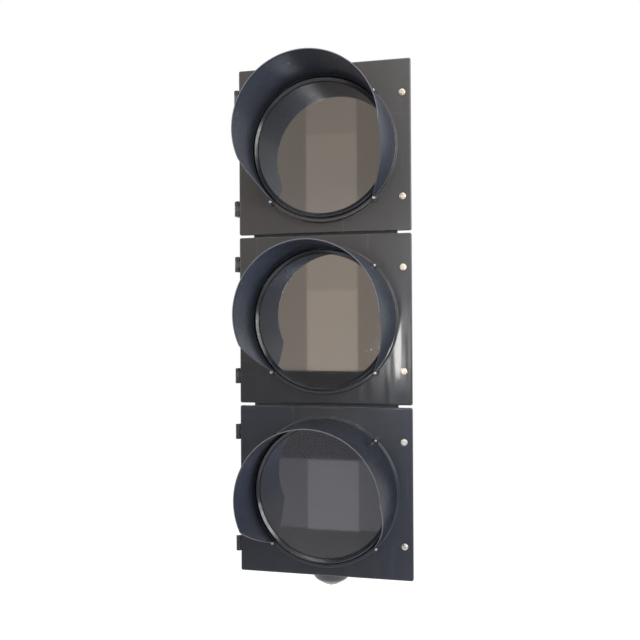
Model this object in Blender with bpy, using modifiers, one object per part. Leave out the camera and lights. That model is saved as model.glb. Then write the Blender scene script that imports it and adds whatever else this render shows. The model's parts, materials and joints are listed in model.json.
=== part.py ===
"""Three-aspect 300 mm traffic signal head, built from its separate pieces.

Three stacked polycarbonate sections, each a tub with a hinged door that carries the visor, the lens, its
bezel and the LED unit. Hollow couplers join the sections.

Frame: the origin is on the vertical coupling axis, in the plane of the seat on top of the upper section.
+Z is up, the lenses face -Y, and +X is the side of the door screws. Lengths are in metres.
"""

import math

import bmesh
import bpy
from mathutils import Matrix, Vector

# ---- Driving dimensions -------------------------------------------------------------------------------

SECTIONS = ("top", "middle", "bottom")
PITCH = 0.3735  # from one section's centre to the next
BOSS_REACH = 0.1845  # from a section's centre to the face of each coupling boss
DOOR_Y = -0.066  # front face of the doors, ahead of the coupling axis
GAP = 0.0003  # between pieces that touch
ROUND = 36  # sides of the large circles
BOSS_SIDES, SMALL_SIDES, HOLE_SIDES = 20, 12, 8  # of bosses, of small round shapes and of small holes
OVERLAP = 0.001  # how far joined shapes run into each other

DOOR_WIDTH, DOOR_HEIGHT = 0.384, 0.368
DOOR_DEPTH, DOOR_PLATE, DOOR_SKIRT = 0.008, 0.003, 0.003
DOOR_CORNER, DOOR_EDGE = 0.004, 0.0025
APERTURE_R, COLLAR_R, COLLAR_RISE = 0.1555, 0.162, 0.0125

TUB_DEPTH, TUB_WALL = 0.130, 0.003
TUB_FRONT, TUB_BACK = (0.186, 0.178), (0.174, 0.162)  # half width and half height
TUB_CORNER, TUB_BACK_EDGE = 0.022, 0.014
GASKET_BACK = 0.006  # depth of the gasket's back face, which the tub's rim meets
RIB_HALF, RIB_DEPTHS, RIB_ROOT, RIB_REACH = 0.161, (0.0092, 0.015), 0.176, 0.1866
BOSS_R, BORE_R, BOSS_ROOT = 0.046, 0.0305, 0.158

HINGE_X, HINGE_DEPTH = -0.1985, 0.006
HINGE_HEIGHT = 0.1245  # of each hinge above or below its section's centre
KNUCKLE_R, PIN_R, PIN_HOLE_R = 0.006, 0.0024, 0.0028
KNUCKLE_HALF, LUG_HEIGHT = 0.0066, 0.010
KNUCKLE_WEB_X, KNUCKLE_WEB_DEPTHS = -0.190, (0.001, 0.0075)
LUG_NECK_HALF, LUG_NECK_BACK, LUG_NECK_INSET = 0.0055, 0.025, 0.0004
LUG_ARM_HALF, LUG_ARM_DEPTHS, LUG_ARM_X, LUG_ARM_INSET = 0.0045, (0.0088, 0.024), -0.1842, 0.0008
PIN_HEAD_R, PIN_HEAD_EDGE, PIN_HEAD = 0.0042, 0.001, 0.0015

DOOR_SCREW_X, DOOR_SCREW_Z = 0.174, 0.111
DOOR_SCREW_HEAD_R, DOOR_SCREW_HEAD, DOOR_SCREW_R = 0.006, 0.0042, 0.0025
DOOR_SCREW_END, DOOR_SCREW_PLAY, DOOR_SOCKET_R = 0.020, 0.0005, 0.0029
SCREW_BOSS_R, SCREW_BOSS_DEPTHS = 0.0095, (0.0085, 0.030)
SCREW_WAY_R, SCREW_WAY_END = 0.0042, 0.027

VISOR_SCREW_RING = 0.162  # radius of the circle through the four visor screws
VISOR_SCREW_HEAD_R, VISOR_SCREW_HEAD, VISOR_SCREW_R, VISOR_SCREW_END = 0.0034, 0.0026, 0.0015, 0.012
VISOR_SCREW_HOLE_R, VISOR_PAD_R, EAR_R, EAR_THICKNESS = 0.0021, 0.0064, 0.0062, 0.003
VISOR_BASE_R, VISOR_RIM_R, VISOR_WALL = 0.1585, 0.1484, 0.0022
VISOR_RIM_DEPTH, VISOR_RISE = 0.1758, 0.010
CUT_BASE_Z, CUT_SLOPE, CUT_CURVE = -0.1145, 0.37, 1.24  # the visor's lower edge, rising towards its rim
CUT_TWIST = 1.44  # how much the slope grows per metre across, so that the cut is higher on the screw side

LENS_R, LENS_FRONT, LENS_THICKNESS = 0.150, 0.0106, 0.003
COUPLER_R, COUPLER_BORE_R, COUPLER_REACH = 0.0298, 0.0225, 0.147
NUT_R, NUT_HEIGHT, NUT_BORE_R = 0.042, 0.012, 0.0302
SEAL_R = 0.044
PLUG_DROP, PLUG_BORE_R, PLUG_BORE_TOP = 0.0345, 0.0048, 0.018  # all measured down from the plug's seat
BOARD_R, BOARD_DEPTHS = 0.056, (0.0719, 0.0703)
LED_R, LED_TIP_R, LED_RISE, LED_RING = 0.0045, 0.003, 0.003, 0.03
GASKET_OUTER, GASKET_OUTER_CORNER = (0.187, 0.179), 0.022
GASKET_WIDTH, GASKET_INNER_CORNER = 0.0055, 0.017
TERMINAL_WAYS, TERMINAL_WAY, TERMINAL_SLOT, TERMINAL_SLOT_END = 8, 0.015, 0.002, 0.110
TERMINAL_DEPTHS, TERMINAL_LEVELS = (0.104, 0.1267), (-0.085, -0.055)

# ---- Collections and materials ------------------------------------------------------------------------

for old in list(bpy.data.objects):
    bpy.data.objects.remove(old)

HEAD = bpy.data.collections.new("traffic_signal_head")
CUTTERS = bpy.data.collections.new("cutters")
for collection in (HEAD, CUTTERS):
    bpy.context.scene.collection.children.link(collection)


def finish(name, colour, roughness, metallic=0.0, transmission=0.0):
    material = bpy.data.materials.new(name)
    material.use_nodes = True
    shader = material.node_tree.nodes["Principled BSDF"]
    shader.inputs["Base Color"].default_value = (*colour, 1.0)
    shader.inputs["Roughness"].default_value = roughness
    shader.inputs["Metallic"].default_value = metallic
    shader.inputs["Transmission Weight"].default_value = transmission
    material.diffuse_color = (*colour, 1.0)
    return material


SHELL_PLASTIC = finish("charcoal_polycarbonate", (0.045, 0.046, 0.050), 0.38)
HOUSING_PLASTIC = finish("housing_polycarbonate", (0.035, 0.036, 0.039), 0.45)
VISOR_PLASTIC = finish("visor_polycarbonate", (0.040, 0.043, 0.052), 0.34)
BEZEL_PLASTIC = finish("gloss_bezel", (0.030, 0.031, 0.035), 0.15)
LENS_CLEAR = finish("smoked_lens", (0.20, 0.19, 0.18), 0.04, transmission=0.5)
RUBBER = finish("black_rubber", (0.012, 0.012, 0.013), 0.75)
OPTIC_PLASTIC = finish("optic_shell_plastic", (0.30, 0.30, 0.31), 0.50)
BOARD_GREEN = finish("circuit_board", (0.03, 0.13, 0.06), 0.45)
STEEL = finish("stainless_steel", (0.62, 0.61, 0.58), 0.28, 1.0)
BRASS = finish("brass_plated_steel", (0.72, 0.60, 0.36), 0.30, 1.0)
NYLON = finish("glass_filled_nylon", (0.05, 0.05, 0.05), 0.55)
TERMINAL_GREY = finish("terminal_grey", (0.42, 0.43, 0.44), 0.50)

# ---- Shape helpers ------------------------------------------------------------------------------------


def helper(name, bm):
    """An object in the cutters' collection, with this bmesh as its mesh."""
    mesh = bpy.data.meshes.new(name)
    bm.to_mesh(mesh)
    bm.free()
    shape = bpy.data.objects.new(name, mesh)
    CUTTERS.objects.link(shape)
    shape.hide_render = True
    shape.display_type = "WIRE"
    return shape


def box(name, low, high):
    low, high = Vector(low), Vector(high)
    bm = bmesh.new()
    place = Matrix.Translation((low + high) / 2) @ Matrix.Diagonal((*(high - low), 1.0))
    bmesh.ops.create_cube(bm, size=1.0, matrix=place)
    return helper(name, bm)


def rod(name, radius, start, end, sides=24, end_radius=None):
    """A closed cylinder or cone from one point to another."""
    start, end = Vector(start), Vector(end)
    along = end - start
    turn = along.to_track_quat("Z", "Y").to_matrix().to_4x4()
    bm = bmesh.new()
    bmesh.ops.create_cone(
        bm,
        cap_ends=True,
        segments=sides,
        radius1=radius,
        radius2=radius if end_radius is None else end_radius,
        depth=along.length,
        matrix=Matrix.Translation((start + end) / 2) @ turn,
    )
    return helper(name, bm)


def turned(name, profile, steps, axis="Y"):
    """A solid turned from (radius, height) points that run down its outer side and back up its inner side.

    Heights count along the axis: forward (-Y) from the door's face, or up (+Z).
    """
    bm = bmesh.new()
    corners = [bm.verts.new((radius, 0.0, height)) for radius, height in profile]
    for first, second in zip(corners, corners[1:]):
        bm.edges.new((first, second))
    if profile[0][0] > 0.0:
        bm.edges.new((corners[-1], corners[0]))
    shape = helper(name, bm)
    screw = shape.modifiers.new("turn", "SCREW")
    screw.steps = screw.render_steps = steps
    screw.use_merge_vertices = True
    screw.merge_threshold = 0.00005
    screw.use_normal_calculate = False
    if axis == "Y":
        shape.matrix_world = Matrix.Translation((0, DOOR_Y, 0)) @ Matrix.Rotation(math.pi / 2, 4, "X")
    return shape


def rounded_outline(half_width, half_height, radius, segments=4):
    """Points of a rectangle with rounded corners, in its own plane."""
    points = []
    for quarter, (side, level) in enumerate(((1, 1), (-1, 1), (-1, -1), (1, -1))):
        for step in range(segments + 1):
            angle = math.pi / 2 * (quarter + step / segments)
            points.append(
                (
                    side * (half_width - radius) + radius * math.cos(angle),
                    level * (half_height - radius) + radius * math.sin(angle),
                )
            )
    return points


def flat(name, outlines, thickness):
    """A flat plate with the first outline as its edge and the others as holes, centred on its own plane."""
    curve = bpy.data.curves.new(name, "CURVE")
    curve.dimensions = "2D"
    curve.fill_mode = "BOTH"
    curve.extrude = thickness / 2
    for outline in outlines:
        spline = curve.splines.new("POLY")
        spline.points.add(len(outline) - 1)
        for point, (x, y) in zip(spline.points, outline):
            point.co = (x, y, 0.0, 1.0)
        spline.use_cyclic_u = True
    drawn = bpy.data.objects.new(name, curve)
    CUTTERS.objects.link(drawn)
    bpy.context.view_layer.update()
    graph = bpy.context.evaluated_depsgraph_get()
    mesh = bpy.data.meshes.new_from_object(drawn.evaluated_get(graph))
    bpy.data.objects.remove(drawn)
    bm = bmesh.new()
    bm.from_mesh(mesh)
    bmesh.ops.remove_doubles(bm, verts=bm.verts, dist=0.00001)
    bpy.data.meshes.remove(mesh)
    return helper(name, bm)


def combine(shape, operation, tools):
    for tool in tools:
        boolean = shape.modifiers.new(operation.lower(), "BOOLEAN")
        boolean.operation = operation
        boolean.object = tool


def settled(shape, sharp_degrees=32.0):
    """The shape's mesh with its modifiers and placing worked in, shaded smooth between its sharp edges."""
    bpy.context.view_layer.update()
    graph = bpy.context.evaluated_depsgraph_get()
    mesh = bpy.data.meshes.new_from_object(shape.evaluated_get(graph))
    mesh.transform(shape.matrix_world)
    mesh.shade_smooth()
    mesh.set_sharp_from_angle(angle=math.radians(sharp_degrees))
    return mesh


def place(name, mesh, material, location=(0, 0, 0), parent=None):
    """One named piece of the head. It shares its mesh with its copies, which have the same material."""
    if not mesh.materials:
        mesh.materials.append(material)
    piece = bpy.data.objects.new(name, mesh)
    HEAD.objects.link(piece)
    piece.location = Vector(location)
    if parent is not None:
        piece.parent = parent
        piece.location -= parent.location
    return piece


def depth(distance):
    """Y of a point this far behind the doors' front face."""
    return DOOR_Y + distance


def visor_screw_centres():
    """Name, X and Z of the four visor screws, at 45 degrees round the lens."""
    reach = VISOR_SCREW_RING * math.sqrt(0.5)
    for level, z in (("upper", reach), ("lower", -reach)):
        for side, x in (("left", -reach), ("right", reach)):
            yield f"{level}_{side}", x, z


# ---- Pieces of one section, around the section's centre -----------------------------------------------


def tub_shell():
    """A drafted tub with rounded corners, open at the front, where its rim is trimmed flat."""
    front = depth(DOOR_PLATE)
    back = depth(TUB_DEPTH)
    bm = bmesh.new()
    bmesh.ops.create_cube(bm, size=2.0)
    for corner in bm.verts:
        half_width, half_height = TUB_FRONT if corner.co.y < 0 else TUB_BACK
        corner.co = Vector(
            (corner.co.x * half_width, front if corner.co.y < 0 else back, corner.co.z * half_height)
        )
    long_edges = [e for e in bm.edges if abs(e.verts[0].co.y - e.verts[1].co.y) > 0.01]
    bmesh.ops.bevel(bm, geom=long_edges, offset=TUB_CORNER, segments=3, profile=0.5, affect="EDGES")
    back_edges = [e for e in bm.edges if all(abs(v.co.y - back) < 1e-6 for v in e.verts)]
    bmesh.ops.bevel(bm, geom=back_edges, offset=TUB_BACK_EDGE, segments=2, profile=0.5, affect="EDGES")
    mouth = [f for f in bm.faces if all(abs(v.co.y - front) < 1e-6 for v in f.verts)]
    bmesh.ops.delete(bm, geom=mouth, context="FACES_ONLY")
    bmesh.ops.recalc_face_normals(bm, faces=bm.faces)
    shape = helper("tub", bm)
    solidify = shape.modifiers.new("wall", "SOLIDIFY")
    solidify.thickness = TUB_WALL
    solidify.offset = -1.0
    solidify.use_even_offset = True
    rim = depth(GASKET_BACK + GAP)
    combine(shape, "DIFFERENCE", [box("rim_trim", (-0.3, depth(-0.02), -0.3), (0.3, rim, 0.3))])
    return shape


def housing_mesh():
    shape = tub_shell()
    joined, cut = [], []
    for sign in (1, -1):
        joined.append(
            box(
                "front_rib",
                (-RIB_HALF, depth(RIB_DEPTHS[0]), min(sign * RIB_ROOT, sign * RIB_REACH)),
                (RIB_HALF, depth(RIB_DEPTHS[1]), max(sign * RIB_ROOT, sign * RIB_REACH)),
            )
        )
        root, face = (0, 0, sign * BOSS_ROOT), (0, 0, sign * BOSS_REACH)
        joined.append(rod("coupling_boss", BOSS_R, root, face, BOSS_SIDES))
        cut.append(rod("coupling_bore", BORE_R, (0, 0, sign * 0.14), (0, 0, sign * 0.20), BOSS_SIDES))
        hinge_z, axis_y = sign * HINGE_HEIGHT, depth(HINGE_DEPTH)
        for way in (1, -1):
            ends = (hinge_z + way * (KNUCKLE_HALF + GAP), hinge_z + way * (KNUCKLE_HALF + LUG_HEIGHT))
            near, far = min(ends), max(ends)
            lug_ends = (HINGE_X, axis_y, near), (HINGE_X, axis_y, far)
            joined.append(rod("lug", KNUCKLE_R, *lug_ends, SMALL_SIDES))
            joined.append(
                box(
                    "lug_neck",
                    (HINGE_X - LUG_NECK_HALF, axis_y, near + LUG_NECK_INSET),
                    (HINGE_X + LUG_NECK_HALF, depth(LUG_NECK_BACK), far - LUG_NECK_INSET),
                )
            )
            joined.append(
                box(
                    "lug_arm",
                    (HINGE_X - LUG_ARM_HALF, depth(LUG_ARM_DEPTHS[0]), near + LUG_ARM_INSET),
                    (LUG_ARM_X, depth(LUG_ARM_DEPTHS[1]), far - LUG_ARM_INSET),
                )
            )
        low, high = (HINGE_X, axis_y, hinge_z - 0.03), (HINGE_X, axis_y, hinge_z + 0.03)
        cut.append(rod("pin_hole", PIN_HOLE_R, low, high, HOLE_SIDES))
        x, z = DOOR_SCREW_X, sign * DOOR_SCREW_Z
        near, far = (x, depth(SCREW_BOSS_DEPTHS[0]), z), (x, depth(SCREW_BOSS_DEPTHS[1]), z)
        joined.append(rod("screw_boss", SCREW_BOSS_R, near, far, SMALL_SIDES))
        cut.append(rod("screw_way", SCREW_WAY_R, (x, DOOR_Y, z), (x, depth(SCREW_WAY_END), z), HOLE_SIDES))
    combine(shape, "UNION", joined)
    combine(shape, "DIFFERENCE", cut)
    return settled(shape)


def door_blank():
    """A flat box with rounded corners and front edges."""
    bm = bmesh.new()
    size = Matrix.Diagonal((DOOR_WIDTH, DOOR_DEPTH, DOOR_HEIGHT, 1.0))
    bmesh.ops.create_cube(bm, size=1.0, matrix=Matrix.Translation((0, depth(DOOR_DEPTH / 2), 0)) @ size)
    corners = [e for e in bm.edges if abs(e.verts[0].co.y - e.verts[1].co.y) > DOOR_DEPTH / 2]
    bmesh.ops.bevel(bm, geom=corners, offset=DOOR_CORNER, segments=3, profile=0.5, affect="EDGES")
    front = [e for e in bm.edges if all(abs(v.co.y - DOOR_Y) < 1e-6 for v in e.verts)]
    bmesh.ops.bevel(bm, geom=front, offset=DOOR_EDGE, segments=2, profile=0.5, affect="EDGES")
    return helper("door_blank", bm)


def door_mesh():
    shape = door_blank()
    joined = [rod("collar", COLLAR_R, (0, depth(OVERLAP), 0), (0, depth(-COLLAR_RISE), 0), ROUND)]
    half = (DOOR_WIDTH / 2 - DOOR_SKIRT, DOOR_HEIGHT / 2 - DOOR_SKIRT)
    cut = [
        box("door_pocket", (-half[0], depth(DOOR_PLATE), -half[1]), (half[0], depth(0.02), half[1])),
        rod("aperture", APERTURE_R, (0, depth(-0.03), 0), (0, depth(0.02), 0), ROUND),
    ]
    for _, x, z in visor_screw_centres():
        pad_ends = (x, depth(OVERLAP), z), (x, depth(-COLLAR_RISE), z)
        joined.append(rod("screw_pad", VISOR_PAD_R, *pad_ends, SMALL_SIDES))
        hole_ends = (x, depth(-0.02), z), (x, depth(-OVERLAP), z)
        cut.append(rod("visor_screw_hole", VISOR_SCREW_HOLE_R, *hole_ends, HOLE_SIDES))
    knuckles = []
    for sign in (1, -1):
        low, high = sign * HINGE_HEIGHT - KNUCKLE_HALF, sign * HINGE_HEIGHT + KNUCKLE_HALF
        axis_y = depth(HINGE_DEPTH)
        ends = (HINGE_X, axis_y, low), (HINGE_X, axis_y, high)
        knuckles.append(rod("knuckle", KNUCKLE_R, *ends, SMALL_SIDES))
        web_front, web_back = (depth(distance) for distance in KNUCKLE_WEB_DEPTHS)
        knuckles.append(box("knuckle_web", (HINGE_X, web_front, low), (KNUCKLE_WEB_X, web_back, high)))
        hole_ends = (HINGE_X, axis_y, low - 0.01), (HINGE_X, axis_y, high + 0.01)
        cut.append(rod("knuckle_hole", PIN_HOLE_R, *hole_ends, HOLE_SIDES))
        hole_ends = [(DOOR_SCREW_X, depth(distance), sign * DOOR_SCREW_Z) for distance in (-0.01, 0.01)]
        cut.append(rod("door_screw_hole", DOOR_SCREW_R + DOOR_SCREW_PLAY, *hole_ends, HOLE_SIDES))
    combine(shape, "UNION", joined)
    combine(shape, "DIFFERENCE", cut[:1])
    combine(shape, "UNION", knuckles)
    combine(shape, "DIFFERENCE", cut[1:])
    return settled(shape)


def visor_cut_z(forward, x):
    """Height of the visor's lower edge, this far in front of the door's face and this far across."""
    run = forward - COLLAR_RISE
    return CUT_BASE_Z + (CUT_SLOPE + CUT_TWIST * x) * run + CUT_CURVE * run * run


def visor_cutter(steps=8, half_width=0.25, low=-0.3):
    """What lies below the visor's edge: a body whose top rises forwards, more so on the screw side."""
    reach = VISOR_RIM_DEPTH + 0.01
    forwards = [0.0] + [COLLAR_RISE + (reach - COLLAR_RISE) * step / steps for step in range(steps + 1)]
    bm = bmesh.new()
    sides = []
    for x in (-half_width, half_width):
        tops = [(forward, visor_cut_z(max(forward, COLLAR_RISE), x)) for forward in forwards]
        outline = [(0.0, low), *tops, (reach, low)]
        sides.append([bm.verts.new((x, depth(-forward), z)) for forward, z in outline])
    count = len(sides[0])
    for index in range(count):
        after = (index + 1) % count
        bm.faces.new((sides[0][index], sides[0][after], sides[1][after], sides[1][index]))
    for side in sides:
        bm.faces.new(side)
    bmesh.ops.recalc_face_normals(bm, faces=bm.faces)
    return helper("visor_cut", bm)


def visor_mesh():
    """A tapered hood whose top line is level, cut away below, with four ears for its screws."""
    base = COLLAR_RISE + GAP
    turn = Matrix.Rotation(math.pi / 2, 4, "X")
    bm = bmesh.new()
    bmesh.ops.create_cone(
        bm,
        cap_ends=False,
        segments=ROUND,
        radius1=VISOR_BASE_R,
        radius2=VISOR_RIM_R,
        depth=VISOR_RIM_DEPTH - base,
        matrix=Matrix.Translation((0, depth(-(base + VISOR_RIM_DEPTH) / 2), 0)) @ turn,
    )
    for corner in bm.verts:
        if corner.co.y < depth(-VISOR_RIM_DEPTH / 2):
            corner.co.z += VISOR_RISE
    bmesh.ops.recalc_face_normals(bm, faces=bm.faces)
    shape = helper("visor_hood", bm)
    solidify = shape.modifiers.new("wall", "SOLIDIFY")
    solidify.thickness = VISOR_WALL
    solidify.offset = -1.0

    ears, holes = [], []
    for _, x, z in visor_screw_centres():
        ear_ends = (x, depth(-base), z), (x, depth(-base - EAR_THICKNESS), z)
        ears.append(rod("ear", EAR_R, *ear_ends, SMALL_SIDES))
        holes.append(rod("ear_hole", VISOR_SCREW_HOLE_R, (x, DOOR_Y, z), (x, depth(-0.03), z), HOLE_SIDES))
    combine(shape, "DIFFERENCE", [visor_cutter()])
    combine(shape, "UNION", ears)
    combine(shape, "DIFFERENCE", holes)
    return settled(shape)


def lens_mesh():
    back = LENS_FRONT - LENS_THICKNESS
    profile = [(0, LENS_FRONT), (LENS_R, LENS_FRONT), (LENS_R, back), (0, back)]
    return settled(turned("lens", profile, ROUND))


def bezel_mesh():
    """The ring that holds the lens: a flared lip in front of it and a skirt round it."""
    profile = [
        (0.1500, 0.0171),
        (0.1525, 0.0152),
        (0.1525, -0.0032),
        (0.1507, -0.0032),
        (0.1507, LENS_FRONT + GAP),
        (0.1436, LENS_FRONT + GAP),
    ]
    return settled(turned("bezel", profile, ROUND))


def optic_shell_mesh():
    """A bowl behind the lens: a neck under the lens's edge, a flange behind the door and a board seat."""
    profile = [
        (0.1480, LENS_FRONT - LENS_THICKNESS - GAP),
        (0.1480, -0.0037),
        (0.1600, -0.0037),
        (0.1600, -0.0067),
        (0.1460, -0.0067),
        (0.1330, -0.0330),
        (0.1000, -0.0610),
        (0.0620, -0.0748),
        (0.0, -0.0748),
        (0.0, -0.0722),
        (0.0600, -0.0722),
        (0.0975, -0.0585),
        (0.1305, -0.0315),
        (0.1440, -0.0040),
        (0.1440, LENS_FRONT - LENS_THICKNESS - GAP),
    ]
    return settled(turned("shell_bowl", profile, BOSS_SIDES))


def led_board_mesh():
    """A round board with one LED at its centre and six round it."""
    back, face = BOARD_DEPTHS
    shape = rod("board", BOARD_R, (0, depth(back), 0), (0, depth(face), 0), BOSS_SIDES)
    centres = [(0.0, 0.0)]
    for index in range(6):
        angle = math.pi / 3 * index
        centres.append((LED_RING * math.cos(angle), LED_RING * math.sin(angle)))
    leds = []
    for x, z in centres:
        foot, tip = (x, depth((back + face) / 2), z), (x, depth(face - LED_RISE), z)
        leds.append(rod("led", LED_R, foot, tip, 6, LED_TIP_R))
    combine(shape, "UNION", leds)
    return settled(shape)


def gasket_mesh():
    thickness = GASKET_BACK - DOOR_PLATE - GAP
    inner = [half - GASKET_WIDTH for half in GASKET_OUTER]
    outlines = [
        rounded_outline(*GASKET_OUTER, GASKET_OUTER_CORNER),
        rounded_outline(*inner, GASKET_INNER_CORNER),
    ]
    shape = flat("gasket", outlines, thickness)
    middle = Matrix.Translation((0, depth(GASKET_BACK - thickness / 2), 0))
    shape.matrix_world = middle @ Matrix.Rotation(math.pi / 2, 4, "X")
    return settled(shape)


def hinge_pin_mesh():
    """A pin on its own Z axis, with a small head above the upper lug."""
    top = KNUCKLE_HALF + LUG_HEIGHT + GAP
    profile = [
        (0, top + PIN_HEAD),
        (PIN_HEAD_R, top + PIN_HEAD_EDGE),
        (PIN_HEAD_R, top),
        (PIN_R, top),
        (PIN_R, -top),
        (0, -top),
    ]
    return settled(turned("hinge_pin", profile, HOLE_SIDES, "Z"))


def screw_mesh(head_r, head, shank_r, shank_end, sides, socket_r=0.0):
    """A screw with a chamfered head about its own Y axis, with the underside of its head at zero."""
    profile = [
        (0, head),
        (0.75 * head_r, head),
        (head_r, 0.6 * head),
        (head_r, 0),
        (shank_r, 0),
        (shank_r, -shank_end),
        (0, -shank_end),
    ]
    shape = turned("screw", profile, sides)
    shape.matrix_world = Matrix.Rotation(math.pi / 2, 4, "X")
    if socket_r:
        combine(shape, "DIFFERENCE", [rod("socket", socket_r, (0, -2 * head, 0), (0, -0.45 * head, 0), 6)])
    return settled(shape)


# ---- Pieces between and below the sections, around their own centres ----------------------------------


def coupler_mesh():
    """A hollow bolt through the facing bosses of two sections."""
    half = PITCH / 2 - COUPLER_REACH
    profile = [(COUPLER_R, half), (COUPLER_R, -half), (COUPLER_BORE_R, -half), (COUPLER_BORE_R, half)]
    return settled(turned("coupler", profile, BOSS_SIDES, "Z"))


def nut_mesh():
    """An eight-sided nut with a round bore, centred on its own height."""
    shape = rod("nut", NUT_R, (0, 0, -NUT_HEIGHT / 2), (0, 0, NUT_HEIGHT / 2), 8)
    combine(shape, "DIFFERENCE", [rod("nut_bore", NUT_BORE_R, (0, 0, -0.02), (0, 0, 0.02), BOSS_SIDES)])
    return settled(shape)


def joint_seal_mesh():
    half = PITCH / 2 - BOSS_REACH - GAP
    profile = [(SEAL_R, half), (SEAL_R, -half), (NUT_BORE_R + 0.0002, -half), (NUT_BORE_R + 0.0002, half)]
    return settled(turned("joint_seal", profile, BOSS_SIDES, "Z"))


def bottom_plug_mesh():
    """A stem through the lowest boss and a tapered cap below it, around the section's centre."""
    seat = -BOSS_REACH - GAP
    profile = [
        (0, -COUPLER_REACH),
        (COUPLER_R, -COUPLER_REACH),
        (COUPLER_R, seat),
        (0.0440, seat),
        (0.0440, seat - 0.0060),
        (0.0390, seat - 0.0190),
        (0.0340, seat - 0.0240),
        (0.0160, seat - PLUG_DROP),
        (0, seat - PLUG_DROP),
    ]
    shape = turned("plug_body", profile, BOSS_SIDES, "Z")
    bore_ends = (0, 0, seat - 2 * PLUG_DROP), (0, 0, seat - PLUG_BORE_TOP)
    combine(shape, "DIFFERENCE", [rod("plug_bore", PLUG_BORE_R, *bore_ends, HOLE_SIDES)])
    return settled(shape)


def plug_screw_mesh():
    """The screw in the bottom plug, pointing up, with the underside of its head at zero."""
    profile = [(0, 0.012), (0.004, 0.012), (0.004, 0), (0.0075, 0), (0.0060, -0.0042), (0, -0.0042)]
    return settled(turned("plug_screw", profile, SMALL_SIDES, "Z"))


def terminal_block_mesh():
    """A bar of screw terminals against the back wall, with a slot between each pair of ways."""
    half = TERMINAL_WAYS * TERMINAL_WAY / 2
    front, back = (depth(distance) for distance in TERMINAL_DEPTHS)
    low, high = TERMINAL_LEVELS
    shape = box("terminal_bar", (-half, front, low), (half, back, high))
    slots = []
    for index in range(1, TERMINAL_WAYS):
        near = index * TERMINAL_WAY - half - TERMINAL_SLOT / 2
        start = (near, front - 0.01, low - 0.01)
        end = (near + TERMINAL_SLOT, depth(TERMINAL_SLOT_END), high + 0.01)
        slots.append(box("way_slot", start, end))
    combine(shape, "DIFFERENCE", slots)
    return settled(shape)


# ---- Assembly -----------------------------------------------------------------------------------------


def axis_empty(name, location):
    empty = bpy.data.objects.new(name, None)
    empty.location = location
    empty.empty_display_size = 0.03
    HEAD.objects.link(empty)
    return empty


def build_sections():
    fixed = {"housing": (housing_mesh(), HOUSING_PLASTIC)}
    swinging = {
        "door": (door_mesh(), SHELL_PLASTIC),
        "door_gasket": (gasket_mesh(), RUBBER),
        "visor": (visor_mesh(), VISOR_PLASTIC),
        "lens": (lens_mesh(), LENS_CLEAR),
        "bezel": (bezel_mesh(), BEZEL_PLASTIC),
        "optic_shell": (optic_shell_mesh(), OPTIC_PLASTIC),
        "led_board": (led_board_mesh(), BOARD_GREEN),
    }
    pin = hinge_pin_mesh()
    door_screw_end = DOOR_SCREW_END + GAP
    door_screw = screw_mesh(
        DOOR_SCREW_HEAD_R, DOOR_SCREW_HEAD, DOOR_SCREW_R, door_screw_end, SMALL_SIDES, DOOR_SOCKET_R
    )
    visor_screw = screw_mesh(
        VISOR_SCREW_HEAD_R, VISOR_SCREW_HEAD, VISOR_SCREW_R, VISOR_SCREW_END, HOLE_SIDES
    )
    visor_head_y = depth(-COLLAR_RISE - EAR_THICKNESS - 2 * GAP)

    for index, section in enumerate(SECTIONS):
        centre = Vector((0, 0, -BOSS_REACH - index * PITCH))
        for name, (mesh, material) in fixed.items():
            place(f"{name}_{section}", mesh, material, centre)
        hinge = axis_empty(f"door_hinge_{section}", centre + Vector((HINGE_X, depth(HINGE_DEPTH), 0)))
        for name, (mesh, material) in swinging.items():
            place(f"{name}_{section}", mesh, material, centre, hinge)
        for level, sign in (("upper", 1), ("lower", -1)):
            pin_at = centre + Vector((HINGE_X, depth(HINGE_DEPTH), sign * HINGE_HEIGHT))
            place(f"hinge_pin_{section}_{level}", pin, STEEL, pin_at)
            screw_at = centre + Vector((DOOR_SCREW_X, depth(-GAP), sign * DOOR_SCREW_Z))
            place(f"door_screw_{section}_{level}", door_screw, BRASS, screw_at, hinge)
        for corner, x, z in visor_screw_centres():
            screw_at = centre + Vector((x, visor_head_y, z))
            place(f"visor_screw_{section}_{corner}", visor_screw, STEEL, screw_at, hinge)


def build_joints():
    coupler, nut, seal = coupler_mesh(), nut_mesh(), joint_seal_mesh()
    nut_drop = BOSS_ROOT - GAP - NUT_HEIGHT / 2
    for index, level in enumerate(("upper", "lower")):
        above = -BOSS_REACH - index * PITCH
        below = above - PITCH
        middle = (0, 0, (above + below) / 2)
        place(f"coupler_{level}", coupler, NYLON, middle)
        place(f"joint_seal_{level}", seal, RUBBER, middle)
        place(f"coupler_nut_{level}_above", nut, NYLON, (0, 0, above - nut_drop))
        place(f"coupler_nut_{level}_below", nut, NYLON, (0, 0, below + nut_drop))
    lowest = -BOSS_REACH - 2 * PITCH
    place("bottom_plug", bottom_plug_mesh(), SHELL_PLASTIC, (0, 0, lowest))
    place("bottom_plug_nut", nut, NYLON, (0, 0, lowest - nut_drop))
    place("bottom_plug_screw", plug_screw_mesh(), STEEL, (0, 0, lowest - BOSS_REACH - PLUG_DROP - 2 * GAP))
    place("terminal_block", terminal_block_mesh(), TERMINAL_GREY, (0, 0, lowest))


build_sections()
build_joints()
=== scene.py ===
"""Looks of a three-section road traffic signal head: fine surfaces, materials, soft studio light and camera.

Metres, +Z up, lenses face -Y. The origin is in the plane of the seat on top of the head, as in the frame.
"""

import json
import math

import bmesh
import bpy
from mathutils import Matrix, Vector


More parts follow.
